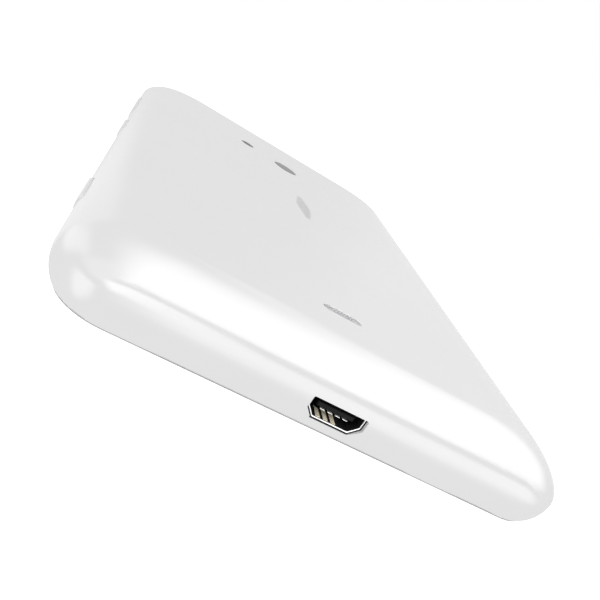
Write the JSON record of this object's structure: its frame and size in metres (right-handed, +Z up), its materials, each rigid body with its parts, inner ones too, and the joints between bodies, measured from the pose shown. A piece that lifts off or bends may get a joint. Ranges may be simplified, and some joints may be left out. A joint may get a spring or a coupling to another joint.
{
  "type": "bluetooth audio receiver",
  "caption": "Slim glossy white wireless audio receiver with a crowned top, a charging port at one end, an audio jack at the other, and side keys.",
  "frame": {"origin": "middle of the underside of the non-slip pad, where the receiver rests", "axes": "+X across the width, away from the side keys; +Y along the length, from the charging port towards the audio jack; +Z up, out of the crowned top"},
  "size_m": [0.0739, 0.1324, 0.0108],
  "materials": {
    "base_white": "fine spark texture",
    "black_plastic": "glass-filled, matt",
    "black_rubber": "matt",
    "black_tape": "double-sided tape",
    "board_green": "solder mask over copper",
    "cell_foil": "laminate pouch",
    "ceramic": "sintered ceramic",
    "chip_black": "moulded package",
    "clear_plastic": "clear, polished",
    "contact_gold": "flash gold",
    "contact_tin": "bright tin",
    "ferrite_grey": "sintered ferrite",
    "flex_amber": "polyimide film",
    "frame_white": "moulded",
    "gasket_grey": "matt",
    "grille_grey": "perforated, satin",
    "insert_dark": "matt, perforated",
    "ivory_plastic": "moulded",
    "jack_metal": "bright nickel",
    "key_white": "moulded, satin gloss",
    "lead_sleeve": "silicone sleeve",
    "led_yellow": "phosphor gel",
    "mic_can": "drawn can",
    "pad_grey": "matt, fine grain",
    "port_steel": "bright nickel",
    "print_grey": "pad-printed ink film",
    "steel": "zinc plated",
    "tape_ivory": "double-sided foam tape",
    "white_gloss": "moulded, glossy, very fine orange peel",
    "window_dark": "polished, smoked"
  },
  "bodies": {
    "root": {"top_cover": "white_gloss", "seam_gasket": "gasket_grey", "base_plate": "base_white", "base_pad": "pad_grey", "case_screws": "steel", "printed_mark": "print_grey", "status_window": "window_dark", "window_tape": "black_tape", "mic_insert": "insert_dark", "mic_boot": "black_rubber", "mic_capsule": "mic_can", "sounder_grille": "grille_grey", "sounder_foam": "black_rubber", "sounder": "black_plastic", "power_board": "board_green", "audio_board": "board_green", "board_screws": "steel", "link_ribbon": "flex_amber", "ribbon_sockets": "ivory_plastic", "usb_shell": "port_steel", "usb_tongue": "black_plastic", "usb_contacts": "contact_tin", "usb_floor_strips": "contact_gold", "jack_housing": "black_plastic", "jack_ferrule": "jack_metal", "jack_springs": "contact_gold", "battery_frame": "frame_white", "battery_cell": "cell_foil", "battery_tape": "tape_ivory", "battery_leads": "lead_sleeve", "battery_plug": "ivory_plastic", "battery_socket": "ivory_plastic", "charger_chip": "chip_black", "power_inductor": "ferrite_grey", "radio_shield": "steel", "radio_chip": "chip_black", "clock_crystal": "steel", "audio_converter": "chip_black", "headphone_amp": "chip_black", "antenna": "ceramic", "board_capacitors": "ceramic", "status_led": "led_yellow", "light_pipe": "clear_plastic", "key_board": "board_green", "key_bracket": "steel", "key_switches": "black_plastic", "key_ribbon": "flex_amber", "rocker_pin": "steel"},
    "volume_rocker": {"volume_rocker": "key_white"},
    "volume_up": {"volume_up_plunger": "ivory_plastic"},
    "volume_down": {"volume_down_plunger": "ivory_plastic"},
    "power_button": {"power_key": "key_white", "power_plunger": "ivory_plastic"},
    "play_button": {"play_key": "key_white", "play_plunger": "ivory_plastic"}
  },
  "joints": [
    {"name": "volume_tilt", "type": "hinge", "parent": "root", "child": "volume_rocker", "pos_m": [-0.0336, 0.0343, 0.0052], "axis": [0, 0, 1], "range_deg": [-1.6, 1.6], "stiffness_Nm_per_rad": 0.4},
    {"name": "volume_up_press", "type": "slide", "parent": "root", "child": "volume_up", "axis": [1, 0, 0], "range_m": [-0.0002, 0.0002]},
    {"name": "volume_down_press", "type": "slide", "parent": "root", "child": "volume_down", "axis": [1, 0, 0], "range_m": [-0.0002, 0.0002]},
    {"name": "power_press", "type": "slide", "parent": "root", "child": "power_button", "axis": [1, 0, 0], "range_m": [0, 0.00025], "stiffness_N_per_m": 4000, "springref_m": -0.0002},
    {"name": "play_press", "type": "slide", "parent": "root", "child": "play_button", "axis": [1, 0, 0], "range_m": [0, 0.00025], "stiffness_N_per_m": 4000, "springref_m": -0.0002}
  ],
  "couplings": [
    {"joint": "volume_up_press", "follows": "volume_tilt", "m_per_rad": -0.006},
    {"joint": "volume_down_press", "follows": "volume_tilt", "m_per_rad": 0.006}
  ]
}
